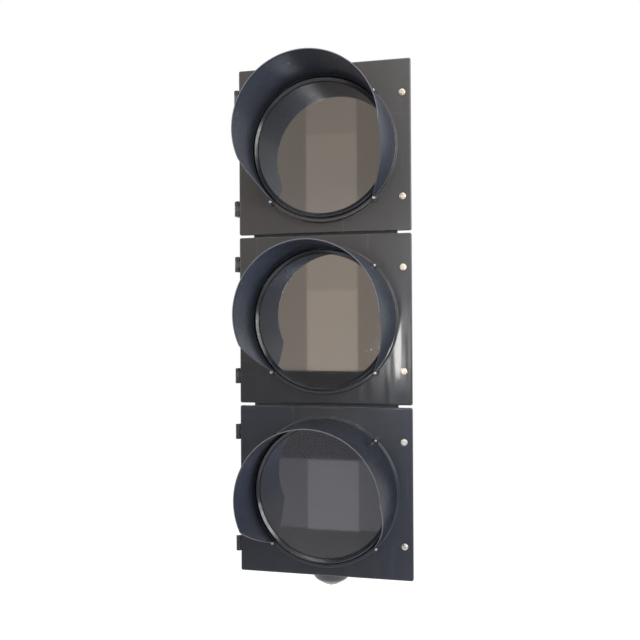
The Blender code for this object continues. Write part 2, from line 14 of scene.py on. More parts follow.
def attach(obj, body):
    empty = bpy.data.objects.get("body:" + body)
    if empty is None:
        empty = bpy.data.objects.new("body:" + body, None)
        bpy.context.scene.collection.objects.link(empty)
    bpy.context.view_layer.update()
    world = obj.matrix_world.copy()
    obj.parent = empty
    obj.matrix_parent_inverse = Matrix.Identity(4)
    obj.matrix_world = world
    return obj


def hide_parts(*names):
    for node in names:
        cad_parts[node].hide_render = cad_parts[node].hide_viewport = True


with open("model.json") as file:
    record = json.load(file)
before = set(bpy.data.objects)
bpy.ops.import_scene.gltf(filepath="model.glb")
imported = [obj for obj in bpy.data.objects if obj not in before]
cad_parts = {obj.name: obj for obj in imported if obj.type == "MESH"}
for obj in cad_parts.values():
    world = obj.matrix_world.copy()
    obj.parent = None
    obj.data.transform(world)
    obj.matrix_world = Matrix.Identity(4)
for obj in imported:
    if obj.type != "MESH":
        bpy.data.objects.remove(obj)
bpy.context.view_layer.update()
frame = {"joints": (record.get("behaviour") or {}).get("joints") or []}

# ---- Sizes, which follow the frame ----

SECTIONS = ("top", "middle", "bottom")
JOINTS = {joint["name"]: joint for joint in frame["joints"]}
CENTRES = {section: JOINTS[f"door_{section}_swing"]["pos_m"][2] for section in SECTIONS}
HINGE_X, HINGE_Y = JOINTS["door_top_swing"]["pos_m"][:2]
HINGE_DEPTH = 0.006  # of the hinge axis behind the doors' face
DOOR_Y = HINGE_Y - HINGE_DEPTH  # the doors' front face
PITCH = CENTRES["top"] - CENTRES["middle"]
BOSS_REACH = -CENTRES["top"]  # from a section's centre to the face of each coupling boss

SMOOTH = 192  # steps round a large circle
SMALL = 40  # steps round a small one
GAP = 0.0003

DOOR_HALF, DOOR_CORNER, DOOR_DEPTH = (0.192, 0.184), 0.004, 0.008
DOOR_PLATE, DOOR_SKIRT, DOOR_EDGE = 0.003, 0.003, 0.0028
APERTURE_R, COLLAR_R, COLLAR_RISE = 0.1555, 0.162, 0.0125
TUB_FRONT, TUB_BACK, TUB_DEPTH = (0.186, 0.178), (0.174, 0.162), 0.130
TUB_CORNER, TUB_WALL, TUB_BACK_EDGE = 0.022, 0.003, 0.016
TUB_RIM = 0.0063  # depth of the tub's front rim
BOSS_R, BORE_R, BOSS_ROOT = 0.046, 0.0305, 0.158
RIB_HALF, RIB_DEPTHS, RIB_ROOT, RIB_REACH = 0.161, (0.0092, 0.015), 0.1762, 0.1867
BACK_GROOVE_DEPTH, BACK_GROOVE_HALF = 0.0007, 0.112  # of the grooves in the tub's back
BACK_RING_RADII, BACK_GROOVE_X = (0.058, 0.064), (0.104, 0.116, 0.128)
HINGE_HEIGHT, KNUCKLE_R, PIN_R, PIN_HOLE_R = 0.1245, 0.006, 0.0024, 0.0028
KNUCKLE_HALF, KNUCKLE_ROOT_X, KNUCKLE_WEB_DEPTHS = 0.0066, -0.1895, (0.0012, 0.0074)
LUG_HEIGHT, LUG_NECK_HALF, LUG_NECK_END = 0.010, 0.0055, 0.025
LUG_ARM_HALF, LUG_ARM_ROOT_X, LUG_ARM_DEPTHS = 0.0045, -0.1838, (0.0088, 0.024)
DOOR_SCREW_X, DOOR_SCREW_Z, DOOR_SCREW_HOLE_R, DOOR_SCREW_SEAT = 0.174, 0.111, 0.003, (0.0074, 0.0088)
SCREW_BOSS_R, SCREW_BOSS_DEPTHS, SCREW_WAY_R, SCREW_WAY_END = 0.0095, (0.0085, 0.030), 0.0042, 0.027
VISOR_SCREW_RING, VISOR_SCREW_HOLE_R, VISOR_PAD_R = 0.162, 0.0021, 0.0064
VISOR_BASE_R, VISOR_RIM_R, VISOR_WALL = 0.1585, 0.1484, 0.0022
VISOR_RIM_DEPTH, VISOR_RISE = 0.1758, 0.010
VISOR_LIP, VISOR_FLARE, VISOR_EDGE = 0.006, 0.0006, 0.0008  # the lip's length and spread, the edges' rounding
CUT_BASE_Z, CUT_SLOPE, CUT_CURVE = -0.1145, 0.37, 1.24  # the visor's lower edge, rising towards its rim
CUT_TWIST = 1.44  # growth of the slope per metre across, so that the cut is higher on the screw side
EAR_R, EAR_THICKNESS = 0.0062, 0.003
LENS_R, LENS_FRONT, LENS_THICKNESS, LENS_EDGE = 0.150, 0.0106, 0.003, 0.0004
GASKET_HALF, GASKET_CORNER, GASKET_WIDTH, GASKET_BACK = (0.187, 0.179), 0.022, 0.0055, 0.006
SHELL_RIBS, SHELL_RIB_HALF = 12, 0.001
BOARD_R, BOARD_DEPTHS, LED_RING, LED_HALF, LED_DOME_R = 0.056, (0.0719, 0.0703), 0.03, 0.0035, 0.0030
COUPLER_R, COUPLER_BORE_R, COUPLER_REACH = 0.0298, 0.0225, 0.147
NUT_R, NUT_BORE_R, NUT_HEIGHT, NUT_SIDES = 0.042, 0.0302, 0.012, 8
SEAL_R, SEAL_BORE_R, PLUG_DROP = 0.044, 0.0306, 0.0345
TERMINALS, TERMINAL_WIDTH = 8, 0.015
TERMINAL_FACE, TERMINAL_BACK, TERMINAL_TOP, TERMINAL_BOTTOM = 0.104, 0.1267, -0.055, -0.085
TERMINAL_SCREW_Z = (TERMINAL_TOP + TERMINAL_BOTTOM) / 2

# ---- Mesh helpers ----


def depth(distance):
    """Y of a point this far behind the doors' front face."""
    return DOOR_Y + distance


def soften(corners, closed, steps=4):
    """A polyline through (x, y, cut) corners, each rounded off over the length of its cut."""
    line = []
    for index, (x, y, cut) in enumerate(corners):
        here = Vector((x, y))
        if cut == 0 or (not closed and index in (0, len(corners) - 1)):
            line.append(here)
            continue
        ends = []
        for other in (corners[index - 1], corners[(index + 1) % len(corners)]):
            run = Vector(other[:2]) - here
            ends.append(here + run.normalized() * min(cut, 0.49 * run.length))
        for step in range(steps + 1):
            t = step / steps
            line.append(ends[0].lerp(here, t).lerp(here.lerp(ends[1], t), t))
    return line


def quads(bm, first, second):
    """Faces between two closed loops of vertices."""
    for index in range(len(first)):
        after = (index + 1) % len(first)
        bm.faces.new((first[index], first[after], second[after], second[index]))


def lofted(rings, closed):
    """Quads between rings of points. The last ring meets the first, or both ends are capped."""
    bm = bmesh.new()
    loops = [[bm.verts.new(point) for point in ring] for ring in rings]
    pairs = list(zip(loops, loops[1:]))
    if closed:
        pairs.append((loops[-1], loops[0]))
    for first, second in pairs:
        quads(bm, first, second)
    if not closed:
        bm.faces.new(loops[0])
        bm.faces.new(loops[-1])
    return finished(bm)


def finished(bm):
    bmesh.ops.recalc_face_normals(bm, faces=bm.faces)
    mesh = bpy.data.meshes.new("shape")
    bm.to_mesh(mesh)
    bm.free()
    return mesh


def turned(corners, steps=SMOOTH, axis="Y", closed=True):
    """A shape turned from (radius, height, cut) corners: a ring, or a solid whose ends are capped.

    Heights count forward from the doors' face on the Y axis, or up from zero on the Z axis.
    """
    rings = []
    for radius, height in soften(corners, closed):
        ring = []
        for step in range(steps):
            angle = 2 * math.pi * step / steps
            across, up = radius * math.sin(angle), radius * math.cos(angle)
            ring.append((across, DOOR_Y - height, up) if axis == "Y" else (across, up, height))
        rings.append(ring)
    return lofted(rings, closed)


def moved(mesh, matrix):
    mesh.transform(matrix)
    return mesh


def rod(radius, start, end, soft=0.0004, steps=SMALL, end_radius=None):
    """A cylinder or cone from one point to another, with softened ends."""
    start, end = Vector(start), Vector(end)
    along = end - start
    last = radius if end_radius is None else end_radius
    corners = [
        (radius * 0.5, 0.0, 0),
        (radius, 0.0, soft),
        (last, along.length, soft),
        (last * 0.5, along.length, 0),
    ]
    turn = along.to_track_quat("Z", "Y").to_matrix().to_4x4()
    return moved(turned(corners, steps, "Z", closed=False), Matrix.Translation(start) @ turn)


def block(low, high, soft=0.0006):
    """A box with rounded edges."""
    low, high = Vector(low), Vector(high)
    bm = bmesh.new()
    size = Matrix.Diagonal((*(high - low), 1.0))
    bmesh.ops.create_cube(bm, size=1.0, matrix=Matrix.Translation((low + high) / 2) @ size)
    if soft:
        bmesh.ops.bevel(bm, geom=bm.edges[:], offset=soft, segments=2, profile=0.5, affect="EDGES")
    return finished(bm)


def peg(radius, x, z, start, end, soft=0.0, steps=SMALL, end_radius=None):
    """A rod that runs straight back, between two depths behind the doors' face."""
    return rod(radius, (x, depth(start), z), (x, depth(end), z), soft, steps, end_radius)


def hinge_rod(radius, low, high, soft=0.0004):
    """An upright rod on the hinge axis."""
    axis_y = depth(HINGE_DEPTH)
    return rod(radius, (HINGE_X, axis_y, low), (HINGE_X, axis_y, high), soft)


def slab(across, depths, heights, soft=0.0):
    """A block from its limits across, its two depths behind the doors' face, and its limits in height."""
    low, high = zip(across, (depth(depths[0]), depth(depths[1])), heights)
    return block(low, high, soft)


def merged(meshes):
    """One mesh that holds copies of all of these."""
    bm = bmesh.new()
    for mesh in meshes:
        bm.from_mesh(mesh)
    whole = bpy.data.meshes.new("shape")
    bm.to_mesh(whole)
    bm.free()
    return whole


def evaluated(mesh, modify):
    """The mesh with the modifiers that modify() puts on its object worked in."""
    shape = bpy.data.objects.new("shape", mesh)
    bpy.context.scene.collection.objects.link(shape)
    tools = modify(shape) or []
    bpy.context.view_layer.update()
    result = bpy.data.meshes.new_from_object(shape.evaluated_get(bpy.context.evaluated_depsgraph_get()))
    for used in (shape, *tools):
        bpy.data.objects.remove(used)
    return result


def carved(mesh, joined=(), cut=()):
    """The mesh with other meshes joined to it, and then others cut from it."""

    def booleans(shape):
        tools = []
        for operation, meshes in (("UNION", joined), ("DIFFERENCE", cut)):
            for tool_mesh in meshes:
                tool = bpy.data.objects.new("tool", tool_mesh)
                bpy.context.scene.collection.objects.link(tool)
                modifier = shape.modifiers.new("boolean", "BOOLEAN")
                modifier.operation = operation
                modifier.object = tool
                tools.append(tool)
        return tools

    return evaluated(mesh, booleans)


def corner_angles():
    """Directions round a nearly square outline, closer together at its corners."""
    even = [2 * math.pi * step / SMOOTH for step in range(SMOOTH)]
    corner = math.atan2(DOOR_HALF[1], DOOR_HALF[0])
    extra = []
    for turn in (corner, math.pi - corner, math.pi + corner, 2 * math.pi - corner):
        for degrees in (0.1, 0.25, 0.45, 0.7, 1.0, 1.5, 2.2, 3.0):
            extra += [turn + math.radians(degrees), turn - math.radians(degrees)]
    return sorted(even + extra)


ANGLES = corner_angles()


def round_ring(radius, y):
    return [(radius * math.cos(angle), y, radius * math.sin(angle)) for angle in ANGLES]


def square_ring(half_width, half_height, corner, y):
    """Where rays from the centre leave a rectangle with rounded corners."""
    ring = []
    for angle in ANGLES:
        across, up = abs(math.cos(angle)), abs(math.sin(angle))
        reach = min(half_width / max(across, 1e-9), half_height / max(up, 1e-9))
        middle = Vector((half_width - corner, half_height - corner))
        if reach * across > middle.x and reach * up > middle.y:
            along = across * middle.x + up * middle.y
            reach = along + math.sqrt(along * along - middle.length_squared + corner * corner)
        ring.append((reach * math.cos(angle), y, reach * math.sin(angle)))
    return ring


def visor_screw_centres():
    reach = VISOR_SCREW_RING * math.sqrt(0.5)
    for level, z in (("upper", reach), ("lower", -reach)):
        for side, x in (("left", -reach), ("right", reach)):
            yield f"{level}_{side}", x, z


# ---- Shapes of one section, around its centre ----


def door_mesh():
    """A plate with a skirt, a round collar, screw pads, knuckles, and a groove round each door screw."""
    width, height = DOOR_HALF
    rings = []
    skirt = soften([(0.0, DOOR_DEPTH, 0.0006), (0.0, 0.0, DOOR_EDGE), (DOOR_EDGE * 3, 0.0, 0)], False, 6)
    for inset, behind in skirt:
        corner = max(DOOR_CORNER - inset * 0.5, 0.001)
        rings.append(square_ring(width - inset, height - inset, corner, depth(behind)))
    collar = [
        (COLLAR_R + 0.0030, 0.0, 0.0020),
        (COLLAR_R + 0.0002, 0.0, 0.0016),
        (COLLAR_R, COLLAR_RISE, 0.0012),
        (APERTURE_R, COLLAR_RISE, 0.0009),
        (APERTURE_R, -DOOR_PLATE, 0.0004),
        (APERTURE_R + 0.004, -DOOR_PLATE, 0),
    ]
    for radius, forward in soften(collar, False):
        rings.append(round_ring(radius, depth(-forward)))
    inner = [(0.006, DOOR_PLATE, 0), (DOOR_SKIRT, DOOR_PLATE, 0.0008), (DOOR_SKIRT, DOOR_DEPTH, 0)]
    for inset, behind in soften(inner, False):
        rings.append(square_ring(width - inset, height - inset, 0.0015, depth(behind)))
    plate = lofted(rings, True)

    pads, holes, knuckles = [], [], []
    for _, x, z in visor_screw_centres():
        pads.append(peg(VISOR_PAD_R, x, z, 0.001, -COLLAR_RISE, 0.0006))
        holes.append(peg(VISOR_SCREW_HOLE_R, x, z, -0.02, -0.001))
    for sign in (1, -1):
        low, high = sign * HINGE_HEIGHT - KNUCKLE_HALF, sign * HINGE_HEIGHT + KNUCKLE_HALF
        knuckles.append(hinge_rod(KNUCKLE_R, low, high))
        web = slab((HINGE_X, KNUCKLE_ROOT_X), KNUCKLE_WEB_DEPTHS, (low + GAP, high - GAP), 0.0005)
        knuckles.append(web)
        holes.append(hinge_rod(PIN_HOLE_R, low - 0.01, high + 0.01, 0.0))
        z = sign * DOOR_SCREW_Z
        holes.append(peg(DOOR_SCREW_HOLE_R, DOOR_SCREW_X, z, -0.01, 0.01))
        inside, outside = DOOR_SCREW_SEAT
        seat = [(inside, 0.002, 0), (outside, 0.002, 0), (outside, -0.001, 0), (inside, -0.001, 0)]
        holes.append(moved(turned(seat, SMALL), Matrix.Translation((DOOR_SCREW_X, 0, z))))
    return carved(plate, [merged(pads), *knuckles], [merged(holes)])


def tub_rings(inset, back):
    """Rings of the tub's outer surface, or of its inner one, from the rim to the middle of its back."""
    rings = []
    side = soften([(0.0, TUB_RIM, 0), (0.0, back, TUB_BACK_EDGE - inset), (0.06, back, 0)], False, 7)
    for inward, behind in side:
        share = (behind - 0.003) / (TUB_DEPTH - 0.003)
        width = TUB_FRONT[0] + (TUB_BACK[0] - TUB_FRONT[0]) * share - inset - inward
        height = TUB_FRONT[1] + (TUB_BACK[1] - TUB_FRONT[1]) * share - inset - inward
        rings.append(square_ring(width, height, max(TUB_CORNER - inset, 0.004), depth(behind)))
    return rings


def back_grooves():
    """Cutters for the grooves in the tub's back: two rings, and three lines on each side of them."""
    floor, outside = TUB_DEPTH - BACK_GROOVE_DEPTH, TUB_DEPTH + 0.002
    grooves = []
    for radius in BACK_RING_RADII:
        corners = [
            (radius, -outside, 0),
            (radius + 0.0014, -outside, 0),
            (radius + 0.001, -floor, 0),
            (radius + 0.0004, -floor, 0),
        ]
        grooves.append(turned(corners))
    for sign in (1, -1):
        for reach in BACK_GROOVE_X:
            across = sorted((sign * reach, sign * (reach + 0.0016)))
            grooves.append(slab(across, (floor, outside), (-BACK_GROOVE_HALF, BACK_GROOVE_HALF)))
    return merged(grooves)


def housing_mesh():
    """The tub with its front ribs, coupling bosses, hinge lugs, screw bosses and the grooves in its back."""
    bm = bmesh.new()
    skins = []
    for rings in (tub_rings(0.0, TUB_DEPTH), tub_rings(TUB_WALL, TUB_DEPTH - TUB_WALL)):
        skins.append([[bm.verts.new(point) for point in ring] for ring in rings])
    pairs = [pair for skin in skins for pair in zip(skin, skin[1:])] + [(skins[0][0], skins[1][0])]
    for first, second in pairs:
        quads(bm, first, second)
    bm.faces.new(skins[0][-1])
    bm.faces.new(skins[1][-1])
    tub = finished(bm)

    joined, cut = [], []
    for sign in (1, -1):
        rib_heights = sorted((sign * RIB_ROOT, sign * RIB_REACH))
        joined.append(slab((-RIB_HALF, RIB_HALF), RIB_DEPTHS, rib_heights, 0.0007))
        face = BOSS_REACH - BOSS_ROOT
        boss = turned(
            [
                (BORE_R, 0.0, 0.0005),
                (BORE_R, face, 0.0006),
                (BOSS_R - 0.010, face, 0),
                (BOSS_R - 0.0015, face, 0.0006),
                (BOSS_R, face - 0.0012, 0.0006),
                (BOSS_R + 0.0006, 0.0, 0.0005),
            ],
            axis="Z",
        )
        turn = Matrix.Rotation(0.0 if sign > 0 else math.pi, 4, "X")
        joined.append(moved(boss, turn @ Matrix.Translation((0, 0, BOSS_ROOT))))
        cut.append(rod(BORE_R, (0, 0, sign * 0.14), (0, 0, sign * 0.20), 0.0, SMOOTH // 2))
        hinge_z = sign * HINGE_HEIGHT
        for way in (1, -1):
            ends = (hinge_z + way * (KNUCKLE_HALF + GAP), hinge_z + way * (KNUCKLE_HALF + LUG_HEIGHT))
            low, high = sorted(ends)
            joined.append(hinge_rod(KNUCKLE_R, low, high, 0.0006))
            across = (HINGE_X - LUG_NECK_HALF, HINGE_X + LUG_NECK_HALF)
            joined.append(slab(across, (HINGE_DEPTH, LUG_NECK_END), (low + 0.0004, high - 0.0004), 0.0007))
            across = (HINGE_X - LUG_ARM_HALF, LUG_ARM_ROOT_X)
            joined.append(slab(across, LUG_ARM_DEPTHS, (low + 0.0008, high - 0.0008), 0.0007))
        cut.append(hinge_rod(PIN_HOLE_R, hinge_z - 0.03, hinge_z + 0.03, 0.0))
        z = sign * DOOR_SCREW_Z
        joined.append(peg(SCREW_BOSS_R, DOOR_SCREW_X, z, *SCREW_BOSS_DEPTHS, 0.0008))
        cut.append(peg(SCREW_WAY_R, DOOR_SCREW_X, z, 0.0, SCREW_WAY_END))
    return carved(tub, joined, [merged(cut), back_grooves()])


def visor_cut_z(forward, x):
    """Height of the visor's lower edge, this far in front of the door and this far across."""
    run = forward - COLLAR_RISE
    return CUT_BASE_Z + (CUT_SLOPE + CUT_TWIST * x) * run + CUT_CURVE * run * run


def visor_cut_angle(forward, radius, centre, side):
    """Angle from the top at which the hood's wall meets its lower edge, on one side."""
    above, below = 0.0, math.pi
    for _ in range(40):
        angle = (above + below) / 2
        if centre + radius * math.cos(angle) > visor_cut_z(forward, side * radius * math.sin(angle)):
            above = angle
        else:
            below = angle
    return above


def visor_mesh():
    """A tapered hood with a slightly flared lip, cut away below along a curve, with ears for its screws."""
    base = COLLAR_RISE + GAP
    rows, columns = 56, 176
    bm = bmesh.new()
    grid = []
    for row in range(rows + 1):
        share = row / rows
        forward = base + (VISOR_RIM_DEPTH - base) * share
        centre = VISOR_RISE * share
        radius = VISOR_BASE_R + (VISOR_RIM_R - VISOR_BASE_R) * share
        spread = max(0.0, 1.0 - (VISOR_RIM_DEPTH - forward) / VISOR_LIP)
        radius += VISOR_FLARE * spread * spread
        first, last = (side * visor_cut_angle(forward, radius, centre, side) for side in (-1, 1))
        line = []
        for column in range(columns + 1):
            angle = first + (last - first) * column / columns
            point = (radius * math.sin(angle), depth(-forward), centre + radius * math.cos(angle))
            line.append(bm.verts.new(point))
        grid.append(line)
    for first, second in zip(grid, grid[1:]):
        for column in range(columns):
            bm.faces.new((first[column], first[column + 1], second[column + 1], second[column]))
    hood = finished(bm)

    def walls(shape):
        solidify = shape.modifiers.new("wall", "SOLIDIFY")
        solidify.thickness = VISOR_WALL
        solidify.offset = -1.0
        bevel = shape.modifiers.new("edges", "BEVEL")
        bevel.width = VISOR_EDGE
        bevel.segments = 3
        bevel.limit_method = "ANGLE"
        bevel.angle_limit = math.radians(50)

    hood = evaluated(hood, walls)
    ears, holes = [], []
    for _, x, z in visor_screw_centres():
        ears.append(peg(EAR_R, x, z, -base, -base - EAR_THICKNESS, 0.0006))
        holes.append(peg(VISOR_SCREW_HOLE_R, x, z, 0, -0.03))
    visor = carved(hood, ears, [merged(holes)])
    mark_highlit_edges(visor)
    return visor


def mark_highlit_edges(visor):
    """Marks the faces of the visor's rim and lower edge, clear of its ears, for a painted highlight in the
    finish.
    """
    edge = visor.attributes.new("edge", "FLOAT", "FACE")
    for face in visor.polygons:
        x, y, z = face.center
        outwards = Vector((x, 0.0, z - VISOR_RISE / 2)).normalized()
        past_ears = DOOR_Y - y > 0.02
        edge.data[face.index].value = float(past_ears and abs(face.normal.dot(outwards)) < 0.6)


def lens_mesh():
    back = LENS_FRONT - LENS_THICKNESS
    corners = [
        (LENS_R - 0.004, back, 0),
        (LENS_R, back, LENS_EDGE),
        (LENS_R, LENS_FRONT, LENS_EDGE),
        (LENS_R - 0.004, LENS_FRONT, 0),
    ]
    return turned(corners, closed=False)


def bezel_mesh():
    """The ring that holds the lens: a rounded crest, a flared lip inside it and a skirt round it."""
    outside, skirt, lip = 0.1525, 0.1507, 0.1440
    back, seat = -0.0032, LENS_FRONT + GAP
    corners = [
        (0.1502, 0.0171, 0.0011),
        (outside, 0.0158, 0.0011),
        (outside, back, 0.0005),
        (skirt, back, 0.0005),
        (skirt, seat, 0),
        (lip, seat, 0.0003),
        (lip, LENS_FRONT + 0.0014, 0.0006),
    ]
    return turned(corners, SMOOTH + 64)


def lens_seal_mesh():
    """The thin edge of the rubber seal that shows between the lens and its bezel."""
    foot = LENS_FRONT + 0.0001
    crest = foot + 0.0011
    inside, outside = 0.1424, 0.1437
    corners = [(inside, foot, 0.0002), (inside, crest, 0.0005), (outside, crest, 0.0004), (outside, foot, 0)]
    return turned(corners)


def gasket_mesh():
    """A frame of rubber with a rounded bead towards the door."""
    near = DOOR_PLATE + GAP
    profile = [
        (0.0, GASKET_BACK, 0.0004),
        (0.0, near, 0.0009),
        (GASKET_WIDTH, near, 0.0009),
        (GASKET_WIDTH, GASKET_BACK, 0.0004),
    ]
    width, height = GASKET_HALF
    rings = []
    for inset, behind in soften(profile, True):
        rings.append(square_ring(width - inset, height - inset, GASKET_CORNER - 0.9 * inset, depth(behind)))
    return lofted(rings, True)


def optic_shell_mesh():
    """A bowl with a flange, a neck under the lens and cooling ribs on its back."""
    seat = LENS_FRONT - LENS_THICKNESS - GAP
    bowl = turned(
        [
            (0.1480, seat, 0.0003),
            (0.1480, -0.0037, 0.0006),
            (0.1600, -0.0037, 0.0005),
            (0.1600, -0.0067, 0.0005),
            (0.1460, -0.0067, 0.0012),
            (0.1330, -0.0330, 0.006),
            (0.1000, -0.0610, 0.006),
            (0.0620, -0.0748, 0.004),
            (0.0300, -0.0748, 0),
            (0.0300, -0.0722, 0),
            (0.0600, -0.0722, 0.003),
            (0.0975, -0.0585, 0.005),
            (0.1305, -0.0315, 0.005),
            (0.1440, -0.0040, 0.002),
            (0.1440, seat, 0.0003),
        ],
        144,
    )
    plate = turned([(0.002, -0.0748, 0), (0.031, -0.0748, 0), (0.031, -0.0724, 0), (0.002, -0.0724, 0)], 96)
    outline = [
        (0.036, 0.0740),
        (0.036, 0.0770),
        (0.064, 0.0770),
        (0.103, 0.0632),
        (0.137, 0.0350),
        (0.133, 0.0310),
        (0.098, 0.0595),
        (0.062, 0.0735),
    ]
    ribs = []
    for index in range(SHELL_RIBS):
        angle = 2 * math.pi * index / SHELL_RIBS
        bm = bmesh.new()
        faces = []
        for side in (-SHELL_RIB_HALF, SHELL_RIB_HALF):
            faces.append([bm.verts.new((side, depth(behind), reach)) for reach, behind in outline])
        bm.faces.new(faces[0])
        bm.faces.new(faces[1])
        quads(bm, *faces)
        ribs.append(moved(finished(bm), Matrix.Rotation(angle, 4, "Y")))
    socket = slab((-0.016, 0.016), (0.0735, 0.0815), (-0.011, 0.011), 0.0012)
    return carved(bowl, [plate, merged(ribs), socket])


def led_board_mesh():
    """A round board with seven LEDs, each a base with a small dome."""
    back, face = BOARD_DEPTHS
    parts = [peg(BOARD_R, 0, 0, back, face, 0.0002, 96)]
    places = [(0.0, 0.0)]
    for index in range(6):
        angle = math.pi / 3 * index
        places.append((LED_RING * math.cos(angle), LED_RING * math.sin(angle)))
    for x, z in places:
        across, heights = (x - LED_HALF, x + LED_HALF), (z - LED_HALF, z + LED_HALF)
        parts.append(slab(across, (face - 0.0012, face + 0.0002), heights, 0.0003))
        parts.append(peg(LED_DOME_R, x, z, face - 0.0008, face - 0.0030, 0.0012, 24, 0.0020))
    return merged(parts)


def hinge_pin_mesh():
    """A pin with a low head on top, and a rounded end."""
    top, head = KNUCKLE_HALF + LUG_HEIGHT + GAP, 0.0042
    corners = [
        (0.001, top + 0.0017, 0),
        (head, top + 0.0015, 0.0009),
        (head, top, 0.0003),
        (PIN_R, top, 0.0002),
        (PIN_R, -top, 0.0007),
        (0.001, -top, 0),
    ]
    return turned(corners, SMALL, "Z", closed=False)


def door_screw_mesh():
    """A captive screw with a hexagon socket, its head's underside at the origin and its head forward."""
    head, radius, shank, end = 0.0042, 0.006, 0.0025, 0.0203
    corners = [
        (0.0015, head, 0),
        (radius - 0.0009, head, 0.0008),
        (radius, 0.0006, 0.0003),
        (radius + 0.0012, 0.0006, 0.0002),
        (radius + 0.0012, 0.0001, 0.0001),
        (shank, 0.0001, 0),
        (shank, -end, 0.0006),
        (0.0008, -end, 0),
    ]
    body = moved(turned(corners, 64, "Z", closed=False), Matrix.Rotation(math.pi / 2, 4, "X"))
    socket = rod(0.0029, (0, -2 * head, 0), (0, -0.42 * head, 0), 0.0, 6)
    return carved(body, [], [socket])


def visor_screw_mesh():
    """A pan-head screw with a cross recess."""
    shank, length = 0.0015, 0.012
    corners = [
        (0.0008, 0.0026, 0),
        (0.0030, 0.0024, 0.0012),
        (0.0034, 0.0006, 0.0006),
        (0.0033, 0.0, 0.0002),
        (shank, 0.0, 0),
        (shank, -length, 0.0004),
        (0.0005, -length, 0),
    ]
    body = moved(turned(corners, SMALL, "Z", closed=False), Matrix.Rotation(math.pi / 2, 4, "X"))
    recess = [
        block((-0.0020, -0.0040, -0.00035), (0.0020, -0.0013, 0.00035), 0.0),
        block((-0.00035, -0.0040, -0.0020), (0.00035, -0.0013, 0.0020), 0.0),
    ]
    return carved(body, [], recess)


# ---- Shapes between and below the sections, around their own centres ----


def coupler_mesh():
    """A hollow tube that joins two sections."""
    half = PITCH / 2 - COUPLER_REACH
    corners = [
        (COUPLER_R, half, 0.001),
        (COUPLER_R, -half, 0.001),
        (COUPLER_BORE_R, -half, 0.0008),
        (COUPLER_BORE_R, half, 0.0008),
    ]
    return turned(corners, 96, "Z")


def nut_mesh():
    """An eight-sided nut with chamfered faces and a round bore."""
    half, steps = NUT_HEIGHT / 2, 96
    half_side = math.pi / NUT_SIDES
    profile = [(NUT_BORE_R, half, 0), (NUT_R, half, 0.0012), (NUT_R, -half, 0.0012), (NUT_BORE_R, -half, 0)]
    rings = []
    for radius, height in soften(profile, True):
        ring = []
        for step in range(steps):
            angle = 2 * math.pi * step / steps
            reach = radius
            if radius > (NUT_R + NUT_BORE_R) / 2:
                reach *= math.cos(half_side) / math.cos(angle % (2 * half_side) - half_side)
            ring.append((reach * math.cos(angle), reach * math.sin(angle), height))
        rings.append(ring)
    return lofted(rings, True)


def joint_seal_mesh():
    """A flat ring between the bosses of two sections."""
    half = PITCH / 2 - BOSS_REACH - GAP
    corners = [
        (SEAL_R, half, 0.0006),
        (SEAL_R, -half, 0.0006),
        (SEAL_BORE_R, -half, 0.0003),
        (SEAL_BORE_R, half, 0.0003),
    ]
    return turned(corners, 128, "Z")


def bottom_plug_mesh():
    """A stem, and below the lowest boss a tapered cap with a hole for its screw."""
    seat = -BOSS_REACH - GAP
    corners = [
        (0.012, -COUPLER_REACH, 0),
        (COUPLER_R, -COUPLER_REACH, 0.001),
        (COUPLER_R, seat, 0),
        (0.0440, seat, 0.0005),
        (0.0440, seat - 0.0060, 0.0016),
        (0.0390, seat - 0.0190, 0.004),
        (0.0340, seat - 0.0240, 0.004),
        (0.0160, seat - PLUG_DROP, 0.002),
        (0.0060, seat - PLUG_DROP, 0),
    ]
    body = turned(corners, 128, "Z", closed=False)
    return carved(body, [], [rod(0.0048, (0, 0, -0.25), (0, 0, seat - 0.018), 0.0)])


def plug_screw_mesh():
    """A slotted screw whose head is below, its head's seat at the origin."""
    corners = [
        (0.001, 0.012, 0),
        (0.004, 0.012, 0.0005),
        (0.004, 0, 0),
        (0.0075, 0, 0.0004),
        (0.0062, -0.0042, 0.0014),
        (0.001, -0.0042, 0),
    ]
    slot_cut = block((-0.0006, -0.01, -0.006), (0.0006, 0.01, -0.0030), 0.0)
    return carved(turned(corners, SMALL, "Z", closed=False), [], [slot_cut])


def terminal_block_mesh():
    """A bar of terminals with slots between them, and a wire entry and a screw in each; and those screws."""
    half = TERMINALS * TERMINAL_WIDTH / 2
    bar = slab((-half, half), (TERMINAL_FACE, TERMINAL_BACK), (TERMINAL_BOTTOM, TERMINAL_TOP), 0.0008)
    before, slot_floor, entry_back = TERMINAL_FACE - 0.004, TERMINAL_FACE + 0.006, TERMINAL_FACE + 0.014
    below, above = TERMINAL_BOTTOM - 0.01, TERMINAL_TOP + 0.01
    cut, screws = [], []
    for index in range(TERMINALS):
        x = (index + 0.5) * TERMINAL_WIDTH - half
        if index:
            slot_x = x - TERMINAL_WIDTH / 2
            cut.append(slab((slot_x - 0.001, slot_x + 0.001), (before, slot_floor), (below, above)))
        cut.append(peg(0.0042, x, TERMINAL_SCREW_Z, before, TERMINAL_FACE + 0.0045, 0.0, 24))
        entry_heights = (below, TERMINAL_BOTTOM + 0.008)
        cut.append(slab((x - 0.0035, x + 0.0035), (slot_floor, entry_back), entry_heights))
        foot, crest = TERMINAL_FACE + 0.0055, TERMINAL_FACE + 0.0020
        screws.append(peg(0.0034, x, TERMINAL_SCREW_Z, foot, crest, 0.0006, 24))
    return carved(bar, [], [merged(cut)]), merged(screws)


# ---- Materials ----


def feed(tree, target, values):
    """Sets a shader node's inputs, each to a value or to a socket that is linked to it."""
    for name, value in values.items():
        if isinstance(value, bpy.types.NodeSocket):
            tree.links.new(value, target.inputs[name])
        else:
            target.inputs[name].default_value = value


